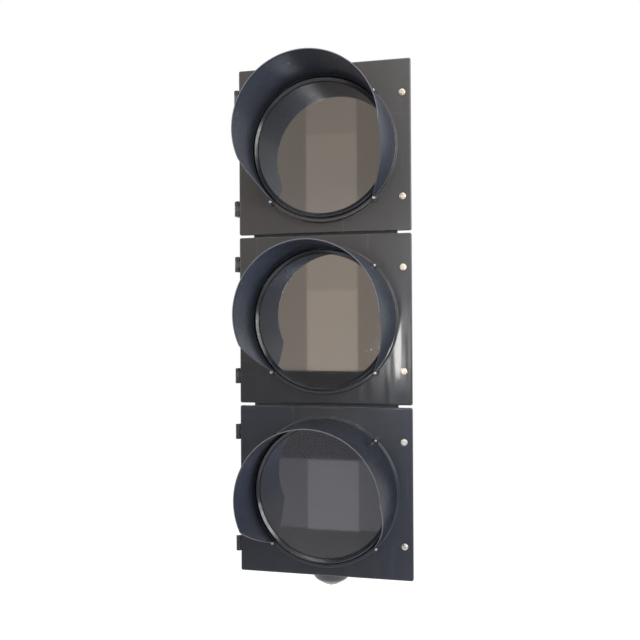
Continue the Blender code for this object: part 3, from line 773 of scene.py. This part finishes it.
def node(tree, kind, values=None, **settings):
    made = tree.nodes.new("ShaderNode" + kind)
    for name, value in settings.items():
        setattr(made, name, value)
    feed(tree, made, values or {})
    return made


def blank(name):
    material = bpy.data.materials.new(name)
    material.use_nodes = True
    tree = material.node_tree
    return material, tree, tree.nodes["Principled BSDF"]


def maths(tree, operation, first, second=0.0, clamp=False):
    return node(tree, "Math", {0: first, 1: second}, operation=operation, use_clamp=clamp).outputs[0]


def times(tree, first, second):
    return maths(tree, "MULTIPLY", first, second)


def position(tree, seed, scale=(1, 1, 1), turn=(0, 0, 0)):
    """Object coordinates, moved by the seed, turned and stretched."""
    place = node(tree, "TexCoord").outputs["Object"]
    shift = (0.37 * seed, 0.11 * seed, -0.23 * seed)
    values = {"Vector": place, "Location": shift, "Rotation": turn, "Scale": scale}
    return node(tree, "Mapping", values).outputs["Vector"]


def noise(tree, place, scale, detail=3.0, rough=0.55):
    values = {"Vector": place, "Scale": scale, "Detail": detail, "Roughness": rough}
    return node(tree, "TexNoise", values).outputs["Fac"]


def ramp(tree, value, low, high, bottom=0.0, top=1.0):
    values = {"Value": value, "From Min": low, "From Max": high, "To Min": bottom, "To Max": top}
    return node(tree, "MapRange", values).outputs["Result"]


def blend_colours(tree, share, first, second):
    values = {0: share}
    for index, colour in ((6, first), (7, second)):
        values[index] = colour if isinstance(colour, bpy.types.NodeSocket) else (*colour, 1.0)
    return node(tree, "Mix", values, data_type="RGBA").outputs[2]


def bumps(tree, strength, distance, height):
    values = {"Strength": strength, "Distance": distance, "Height": height}
    return node(tree, "Bump", values).outputs["Normal"]


def scratches(tree, seed):
    """Sparse fine lines in two directions, in patches."""
    patches = ramp(tree, noise(tree, position(tree, seed + 3.0), 9.0, 2.0), 0.52, 0.62)
    steep = noise(tree, position(tree, seed, (520, 60, 7), (0, 0.5, 0)), 1.0, 2.0)
    slight = noise(tree, position(tree, seed + 1.0, (9, 60, 430), (0, 0.25, 0)), 1.0, 2.0)
    lines = maths(tree, "MAXIMUM", ramp(tree, steep, 0.70, 0.78), ramp(tree, slight, 0.71, 0.79))
    return times(tree, lines, patches)


def worn_and_highlit_edges(tree):
    """A mask, bright where the surface bends outwards, as rubbed edges are, and on the marked edges of thin
    walls, which carry a painted highlight.
    """
    bent = ramp(tree, node(tree, "NewGeometry").outputs["Pointiness"], 0.53, 0.62)
    marked = node(tree, "Attribute", attribute_name="edge").outputs["Fac"]
    return maths(tree, "MAXIMUM", bent, times(tree, marked, 0.25))


def settled_dust(tree, seed):
    """Patchy dust on surfaces that face up."""
    facing = node(tree, "SeparateXYZ", {0: node(tree, "NewGeometry").outputs["Normal"]}).outputs["Z"]
    patches = ramp(tree, noise(tree, position(tree, seed + 5.0), 35.0, 5.0, 0.7), 0.35, 0.7)
    return times(tree, ramp(tree, facing, 0.3, 1.0), patches)


def plastic(
    name,
    colour,
    roughness,
    seed,
    wear_and_highlight=0.35,
    dust=0.3,
    grain=0.05,
    scuff=0.25,
    rub_and_highlight=0.2,
    coat=0.0,
    painted_shade=None,
    specular=0.5,
):
    """Moulded plastic: slow tone changes, a fine grain, scratches, rubbed edges and settled dust, with
    painted highlights on edges where the wear is high and, when given, a painted shade that darkens it
    downwards.
    """
    material, tree, shader = blank(name)
    clouds = noise(tree, position(tree, seed), 6.0, 4.0)
    mottle = noise(tree, position(tree, seed + 2.0), 55.0, 6.0, 0.65)
    fine = noise(tree, position(tree, seed), 1500.0, 2.0)
    lines = scratches(tree, seed)
    dusty = times(tree, settled_dust(tree, seed), dust)
    dark, light = [tuple(part * share for part in colour) for share in (0.82, 1.2)]
    tone = blend_colours(tree, clouds, dark, light)
    # Painted shade: when given, the tone darkens and cools from just above the centre to just below it, where
    # less light falls.
    if painted_shade:
        shade_tone, start, end = painted_shade
        level = node(tree, "SeparateXYZ", {0: node(tree, "TexCoord").outputs["Object"]}).outputs["Z"]
        tone = blend_colours(tree, ramp(tree, level, start, end), tone, shade_tone)
    # Rubbed edges and scratches lighten the tone; where the wear is high, as on the visors, the lightened
    # edges are a painted highlight.
    worn_and_highlit = times(tree, worn_and_highlit_edges(tree), wear_and_highlight)
    rubbed_and_highlit = maths(tree, "ADD", worn_and_highlit, times(tree, lines, scuff), True)
    tone = blend_colours(tree, rubbed_and_highlit, tone, (rub_and_highlight, rub_and_highlight, 1.07 * rub_and_highlight))
    gloss = ramp(tree, mottle, 0.25, 0.75, roughness - 0.06, roughness + 0.09)
    gloss = maths(tree, "ADD", gloss, times(tree, lines, 0.7 * scuff))
    height = maths(tree, "SUBTRACT", fine, times(tree, lines, 1.6 * scuff))
    streaks = noise(tree, position(tree, seed + 7.0, (60, 60, 4)), 1.0, 3.0)
    values = {
        "Base Color": blend_colours(tree, dusty, tone, DUST_COLOUR),
        "Roughness": maths(tree, "ADD", gloss, times(tree, dusty, 0.4), True),
        "Coat Weight": coat,
        "Coat Roughness": ramp(tree, streaks, 0.42, 0.70, 0.07, 0.30),
        "Specular IOR Level": specular,
        "Normal": bumps(tree, grain, 0.0004, height),
    }
    feed(tree, shader, values)
    return material


def smoked_lens(name, colour, seed):
    """A smoked, mirror-smooth cover with a few specks and wipe marks."""
    material, tree, shader = blank(name)
    clouds = noise(tree, position(tree, seed), 12.0, 3.0)
    values = {"Vector": position(tree, seed), "Scale": 70.0, "Randomness": 1.0}
    specks = node(tree, "TexVoronoi", values).outputs["Distance"]
    chosen = ramp(tree, noise(tree, position(tree, seed + 4.0), 24.0, 2.0), 0.60, 0.66)
    dirt = times(tree, ramp(tree, specks, 0.16, 0.10), chosen)
    wipes = ramp(tree, noise(tree, position(tree, seed, (14, 14, 90), (0, 0.6, 0)), 1.0, 4.0), 0.45, 0.8)
    dark, light = [tuple(part * share for part in colour) for share in (0.95, 1.05)]
    tone = blend_colours(tree, clouds, dark, light)
    gloss = maths(tree, "ADD", times(tree, wipes, 0.03), times(tree, dirt, 0.2))
    values = {
        "Base Color": blend_colours(tree, times(tree, dirt, 0.4), tone, (0.10, 0.095, 0.09)),
        "Roughness": maths(tree, "ADD", gloss, 0.025),
        "Metallic": 0.9,
        "Coat Weight": 0.6,
        "Coat Roughness": 0.02,
    }
    feed(tree, shader, values)
    return material


def rubber(name, seed):
    """Matt black rubber with a dusty bloom."""
    material, tree, shader = blank(name)
    bloom = ramp(tree, noise(tree, position(tree, seed), 40.0, 6.0, 0.7), 0.4, 0.75)
    fine = noise(tree, position(tree, seed), 900.0, 3.0)
    values = {
        "Base Color": blend_colours(tree, bloom, (0.010, 0.010, 0.011), (0.040, 0.039, 0.038)),
        "Roughness": ramp(tree, bloom, 0.0, 1.0, 0.62, 0.85),
        "Normal": bumps(tree, 0.15, 0.0003, fine),
    }
    feed(tree, shader, values)
    return material


def metal(name, colour, tarnish, roughness, seed):
    """Turned or plated metal with fine machining marks and tarnish."""
    material, tree, shader = blank(name)
    stains = ramp(tree, noise(tree, position(tree, seed), 260.0, 5.0, 0.65), 0.42, 0.72)
    marks = noise(tree, position(tree, seed, (2600, 300, 2600)), 1.0, 3.0)
    gloss = ramp(tree, marks, 0.3, 0.7, roughness - 0.05, roughness + 0.07)
    values = {
        "Base Color": blend_colours(tree, times(tree, stains, 0.7), colour, tarnish),
        "Roughness": maths(tree, "ADD", gloss, times(tree, stains, 0.18), True),
        "Metallic": 1.0,
        "Normal": bumps(tree, 0.12, 0.0001, marks),
    }
    feed(tree, shader, values)
    return material


def circuit_board(name, seed):
    """Green solder mask over copper tracks."""
    material, tree, shader = blank(name)
    upright = position(tree, seed, turn=(math.pi / 2, 0, 0))
    values = {"Vector": upright, "Scale": 240.0, "Mortar Size": 0.035}
    tracks = node(tree, "TexBrick", values).outputs["Fac"]
    patchy = ramp(tree, noise(tree, position(tree, seed), 80.0, 3.0), 0.35, 0.65)
    share = times(tree, tracks, patchy)
    values = {
        "Base Color": blend_colours(tree, share, (0.012, 0.090, 0.034), (0.05, 0.22, 0.07)),
        "Roughness": ramp(tree, patchy, 0.0, 1.0, 0.28, 0.42),
        "Coat Weight": 0.3,
        "Normal": bumps(tree, 0.3, 0.0002, share),
    }
    feed(tree, shader, values)
    return material


# Painted light and shade: the doors are one plastic, given a lighter, warmer tone at the top of the stack and
# darker, bluer ones lower down.
DOOR_LIT_TONES = {"top": (0.043, 0.039, 0.038), "middle": (0.034, 0.032, 0.033), "bottom": (0.018, 0.020, 0.027)}
# Painted shade: the darker, cooler tones that each door takes towards its bottom.
DOOR_SHADE_TONES = {"top": (0.036, 0.033, 0.033), "middle": (0.015, 0.016, 0.020), "bottom": (0.014, 0.016, 0.022)}
# Painted light and shade: the visors are one plastic, lighter and bluer at the top of the stack for the light
# their insides catch, and much darker at the bottom.
VISOR_LIT_TONES = {"top": (0.028, 0.033, 0.048), "middle": (0.024, 0.030, 0.044), "bottom": (0.009, 0.012, 0.021)}
LENS_TONES = {"top": (0.31, 0.31, 0.32), "middle": (0.32, 0.32, 0.33), "bottom": (0.40, 0.40, 0.41)}
HOUSING_TONE, BEZEL_TONE = (0.024, 0.025, 0.029), (0.020, 0.022, 0.028)
DUST_COLOUR = (0.33, 0.31, 0.28)

DOOR_FINISH, VISOR_FINISH, LENS_FINISH, HOUSING_FINISH = {}, {}, {}, {}
for order, section in enumerate(SECTIONS, 1):
    centre = CENTRES[section]
    name, painted_shade = f"door_plastic_{section}", (DOOR_SHADE_TONES[section], centre + 0.10, centre - 0.12)
    DOOR_FINISH[section] = plastic(name, DOOR_LIT_TONES[section], 0.36, order, scuff=0.3, coat=0.5, painted_shade=painted_shade)
    name, tone = f"visor_plastic_{section}", VISOR_LIT_TONES[section]
    # Painted highlight: full wear and a pale rub tone draw a pale line along the visors' rims and lower
    # edges.
    VISOR_FINISH[section] = plastic(
        name, tone, 0.30, 10 + order, wear_and_highlight=1.0, dust=0.1, scuff=0.02, rub_and_highlight=0.42, specular=0.4
    )
    LENS_FINISH[section] = smoked_lens(f"smoked_lens_{section}", LENS_TONES[section], 20 + order)
    name = f"housing_plastic_{section}"
    HOUSING_FINISH[section] = plastic(name, HOUSING_TONE, 0.42, 30 + order, grain=0.12)
BEZEL_FINISH = plastic("bezel_plastic", BEZEL_TONE, 0.17, 41.0, wear_and_highlight=0.15, dust=0.15, grain=0.01, scuff=0.1)
RUBBER_FINISH = rubber("seal_rubber", 51.0)
OPTIC_FINISH = plastic("optic_shell_plastic", (0.20, 0.20, 0.205), 0.48, 61.0, wear_and_highlight=0.1, dust=0.2, grain=0.1)
BOARD_FINISH = circuit_board("circuit_board", 71.0)
STEEL_FINISH = metal("stainless_steel", (0.62, 0.61, 0.59), (0.36, 0.33, 0.29), 0.24, 81.0)
# Painted reflection: the door screws are one metal, tinted warm for the warm light they reflect, most on the
# top section and least on the bottom one.
SCREW_METAL_WARM_LIT = {
    "top": metal("brass_plating_top", (0.92, 0.81, 0.70), (0.62, 0.47, 0.32), 0.27, 82.0),
    "middle": metal("brass_plating_middle", (0.90, 0.82, 0.68), (0.58, 0.46, 0.32), 0.27, 83.0),
    "bottom": metal("brass_plating_bottom", (0.84, 0.80, 0.73), (0.50, 0.45, 0.37), 0.27, 84.0),
}
NYLON_FINISH = plastic("glass_filled_nylon", (0.05, 0.05, 0.052), 0.52, 91.0, wear_and_highlight=0.15, dust=0.2, grain=0.25)
TERMINAL_FINISH = plastic("terminal_plastic", (0.36, 0.37, 0.38), 0.46, 101.0, wear_and_highlight=0.1, dust=0.2, grain=0.06)

# ---- Pieces ----

SHARP_ANGLE = 32.0  # degrees between two faces, above which their edge stays sharp


def piece(name, mesh, material, body, at, stands_for=()):
    """A copy of the mesh at its place, shaded smooth between sharp edges, that moves with a body."""
    own = mesh.copy()
    own.transform(Matrix.Translation(at))
    own.materials.clear()
    own.materials.append(material)
    own.shade_smooth()
    own.set_sharp_from_angle(angle=math.radians(SHARP_ANGLE))
    made = bpy.data.objects.new(name, own)
    bpy.context.scene.collection.objects.link(made)
    made.modifiers.new("normals", "WEIGHTED_NORMAL").keep_sharp = True
    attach(made, body)
    if stands_for:
        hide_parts(*stands_for)


def stand_in(name, mesh, material, body, at):
    """The piece that takes the place of the CAD node of this name."""
    piece(f"{name}_fine", mesh, material, body, at, [name])


def make_sections():
    door, visor, housing = door_mesh(), visor_mesh(), housing_mesh()
    lens, bezel, seal, gasket = lens_mesh(), bezel_mesh(), lens_seal_mesh(), gasket_mesh()
    shell, board, pin = optic_shell_mesh(), led_board_mesh(), hinge_pin_mesh()
    door_screw, visor_screw = door_screw_mesh(), visor_screw_mesh()
    for section in SECTIONS:
        at, body = Vector((0, 0, CENTRES[section])), f"door_{section}"
        fitted = (
            ("door", door, DOOR_FINISH[section], "door_plastic"),
            ("visor", visor, VISOR_FINISH[section], "visor_plastic"),
            ("lens", lens, LENS_FINISH[section], "lens"),
            ("bezel", bezel, BEZEL_FINISH, "bezel_plastic"),
            ("door_gasket", gasket, RUBBER_FINISH, "rubber"),
            ("optic_shell", shell, OPTIC_FINISH, "optic_plastic"),
            ("led_board", board, BOARD_FINISH, "circuit_board"),
        )
        for name, mesh, material, slot in fitted:
            stand_in(f"{name}_{section}", mesh, material, body, at)
        piece(f"lens_seal_{section}", seal, RUBBER_FINISH, body, at)
        stand_in(f"housing_{section}", housing, HOUSING_FINISH[section], "stack", at)
        for level, sign in (("upper", 1), ("lower", -1)):
            pin_at = at + Vector((HINGE_X, depth(HINGE_DEPTH), sign * HINGE_HEIGHT))
            stand_in(f"hinge_pin_{section}_{level}", pin, STEEL_FINISH, "stack", pin_at)
            screw_at = at + Vector((DOOR_SCREW_X, depth(-GAP), sign * DOOR_SCREW_Z))
            name, screw_metal = f"screw_{section}_{level}", SCREW_METAL_WARM_LIT[section]
            stand_in(f"door_{name}", door_screw, screw_metal, name, screw_at)
        for corner, x, z in visor_screw_centres():
            screw_at = at + Vector((x, depth(-COLLAR_RISE - EAR_THICKNESS - 2 * GAP), z))
            stand_in(f"visor_screw_{section}_{corner}", visor_screw, STEEL_FINISH, body, screw_at)


def make_couplings():
    coupler, nut, seal = coupler_mesh(), nut_mesh(), joint_seal_mesh()
    bar, terminal_screws = terminal_block_mesh()
    nut_drop = BOSS_ROOT - GAP - NUT_HEIGHT / 2
    rows = []
    for level, above, below in (("upper", "top", "middle"), ("lower", "middle", "bottom")):
        between = (CENTRES[above] + CENTRES[below]) / 2
        rows += [
            (f"coupler_{level}", coupler, NYLON_FINISH, "nylon", between),
            (f"joint_seal_{level}", seal, RUBBER_FINISH, "rubber", between),
            (f"coupler_nut_{level}_above", nut, NYLON_FINISH, "nylon", CENTRES[above] - nut_drop),
            (f"coupler_nut_{level}_below", nut, NYLON_FINISH, "nylon", CENTRES[below] + nut_drop),
        ]
    lowest = CENTRES["bottom"]
    screw_seat = lowest - BOSS_REACH - PLUG_DROP - 2 * GAP
    rows += [
        ("bottom_plug", bottom_plug_mesh(), DOOR_FINISH["bottom"], "door_plastic", lowest),
        ("bottom_plug_nut", nut, NYLON_FINISH, "nylon", lowest - nut_drop),
        ("bottom_plug_screw", plug_screw_mesh(), STEEL_FINISH, "steel", screw_seat),
        ("terminal_block", bar, TERMINAL_FINISH, "terminal_plastic", lowest),
    ]
    for name, mesh, material, slot, height in rows:
        stand_in(name, mesh, material, "stack", Vector((0, 0, height)))
    piece("terminal_screws", terminal_screws, STEEL_FINISH, "stack", Vector((0, 0, lowest)))


# ---- Studio ----

FLOOR_HEIGHT, FLOOR_SIZE, FLOOR_GLOW = -2.3, 9.0, 0.5
SKY_LIGHT, SKY_SEEN = 0.55, 1.0  # the world's strength as a light, and as the camera sees it
WALL_Y, BAND_Y, GLARE_Y = -2.70, -2.68, -2.66  # planes of the cards, in front of the head
LIGHTS_AIM = Vector((0, -0.05, CENTRES["middle"]))
CAMERA_PLACE, FOCAL_LENGTH, SENSOR_WIDTH = (0.3685, -1.7124, -0.5675), 43.53, 36.0
CAMERA_YAW, CAMERA_PITCH, CAMERA_ROLL = 0.225, 0.0052, -0.0058


def emissive(name, colour, strength):
    material, tree, shader = blank(name)
    tree.nodes.remove(shader)
    glow = node(tree, "Emission", {"Color": (*colour, 1.0), "Strength": strength})
    tree.links.new(glow.outputs[0], tree.nodes["Material Output"].inputs["Surface"])
    return material


def shown(name, bm, material):
    """A new object in the scene, made from the faces of bm."""
    mesh = bpy.data.meshes.new(name)
    bm.to_mesh(mesh)
    bm.free()
    mesh.materials.append(material)
    made = bpy.data.objects.new(name, mesh)
    bpy.context.scene.collection.objects.link(made)
    return made


def card(name, low, high, y, material):
    """An upright panel that is seen only in reflections and gives a soft light."""
    bm = bmesh.new()
    corners = [(low[0], y, low[1]), (high[0], y, low[1]), (high[0], y, high[1]), (low[0], y, high[1])]
    bm.faces.new([bm.verts.new(corner) for corner in corners])
    panel = shown(name, bm, material)
    panel.visible_camera = False


def make_studio():
    world = bpy.data.worlds.new("studio")
    world.use_nodes = True
    tree = world.node_tree
    tree.nodes["Background"].inputs["Color"].default_value = (1.0, 1.0, 1.0, 1.0)
    seen = node(tree, "LightPath").outputs["Is Camera Ray"]
    values = {"Value": seen, "To Min": SKY_LIGHT, "To Max": SKY_SEEN}
    strength = node(tree, "MapRange", values).outputs["Result"]
    tree.links.new(strength, tree.nodes["Background"].inputs["Strength"])
    bpy.context.scene.world = world
    bpy.context.scene.view_settings.view_transform = "Standard"

    material, tree, shader = blank("pale_floor")
    cloudy = noise(tree, position(tree, 0.0), 1.5, 3.0)
    seen = node(tree, "LightPath").outputs["Is Camera Ray"]
    values = {
        "Base Color": blend_colours(tree, cloudy, (0.86, 0.86, 0.86), (0.90, 0.90, 0.89)),
        "Roughness": 0.9,
        "Emission Color": (1.0, 1.0, 1.0, 1.0),
        "Emission Strength": times(tree, seen, FLOOR_GLOW),
    }
    feed(tree, shader, values)
    bm = bmesh.new()
    level = Matrix.Translation((0, 0, FLOOR_HEIGHT))
    bmesh.ops.create_grid(bm, x_segments=8, y_segments=8, size=FLOOR_SIZE, matrix=level)
    floor = shown("floor", bm, material)

    warm, cool, pale = (0.63, 0.54, 0.44), (0.30, 0.30, 0.33), (0.96, 0.97, 1.0)
    cards = (
        ("warm_high", (-2.3, 0.0), (-0.2, 1.9), WALL_Y, warm, 0.61),
        ("warm_level", (-2.3, -0.83), (-0.2, 0.0), WALL_Y, warm, 0.77),
        ("dark_level", (-2.3, -1.10), (-0.2, -0.83), WALL_Y, cool, 0.04),
        ("dim_level", (-2.3, -1.33), (-0.2, -1.10), WALL_Y, cool, 0.30),
        ("cool_low", (-2.3, -1.72), (-0.2, -1.33), WALL_Y, cool, 0.58),
        ("cool_floor", (-2.3, -2.25), (-0.2, -1.72), WALL_Y, cool, 0.30),
        ("band_top", (-0.677, 0.5), (-0.387, 1.7), BAND_Y, warm, 0.86),
        ("band_high", (-0.677, 0.0), (-0.387, 0.5), BAND_Y, warm, 0.98),
        ("band_upper", (-0.677, -0.38), (-0.387, 0.0), BAND_Y, warm, 1.13),
        ("band_level", (-0.677, -0.83), (-0.387, -0.38), BAND_Y, warm, 1.30),
        ("band_low", (-0.677, -1.72), (-0.387, -1.33), BAND_Y, cool, 0.95),
        ("right_high", (-0.2, 0.0), (1.8, 1.9), WALL_Y, pale, 1.15),
        ("right_level", (-0.2, -0.85), (0.35, 0.0), WALL_Y, (0.93, 0.93, 1.0), 2.0),
        ("right_low", (-0.2, -2.2), (1.2, -0.85), WALL_Y, (0.42, 0.50, 0.72), 0.95),
        ("glare_strip", (-0.203, -0.86), (-0.115, -0.55), GLARE_Y, (1.0, 0.98, 0.95), 38.0),
    )
    for name, low, high, y, colour, strength in cards:
        card(name, low, high, y, emissive(name, colour, strength))

    lights = (
        ("key", (2.6, -2.0, 0.2), (0.9, 2.2), 55.0, (1.0, 0.99, 0.97)),
        ("overhead", (0.2, -1.4, 2.4), (2.6, 1.6), 60.0, (1.0, 0.99, 0.98)),
        ("left_fill", (-2.4, -1.6, 0.3), (1.4, 2.2), 30.0, (0.90, 0.95, 1.0)),
        ("side", (2.3, -1.0, 0.2), (0.8, 1.6), 24.0, (0.82, 0.90, 1.0)),
        ("behind", (-1.2, 2.6, 0.6), (1.8, 1.8), 45.0, (1.0, 1.0, 1.0)),
    )
    for name, place, size, watts, colour in lights:
        light = bpy.data.lights.new(name, "AREA")
        light.shape = "RECTANGLE"
        light.size, light.size_y = size
        light.energy = watts
        light.color = colour
        lamp = bpy.data.objects.new(name, light)
        aim = LIGHTS_AIM - Vector(place)
        lamp.matrix_world = Matrix.Translation(place) @ aim.to_track_quat("-Z", "Y").to_matrix().to_4x4()
        bpy.context.scene.collection.objects.link(lamp)


def make_camera():
    """A camera that stands right of the head, level with the middle section, and looks slightly left."""
    camera = bpy.data.cameras.new("camera")
    camera.sensor_width, camera.lens = SENSOR_WIDTH, FOCAL_LENGTH
    camera.clip_start, camera.clip_end = 0.05, 60.0
    yaw, pitch, roll = CAMERA_YAW, CAMERA_PITCH, CAMERA_ROLL
    right = Vector((math.cos(yaw), math.sin(yaw), 0.0))
    ahead = Vector((-math.sin(yaw) * math.cos(pitch), math.cos(yaw) * math.cos(pitch), math.sin(pitch)))
    up = right.cross(ahead)
    across = math.cos(roll) * right + math.sin(roll) * up
    upright = math.cos(roll) * up - math.sin(roll) * right
    turn = Matrix((across, upright, -ahead)).transposed().to_4x4()
    eye = bpy.data.objects.new("camera", camera)
    eye.matrix_world = Matrix.Translation(CAMERA_PLACE) @ turn
    bpy.context.scene.collection.objects.link(eye)
    bpy.context.scene.camera = eye


make_camera()
make_sections()
make_couplings()
make_studio()
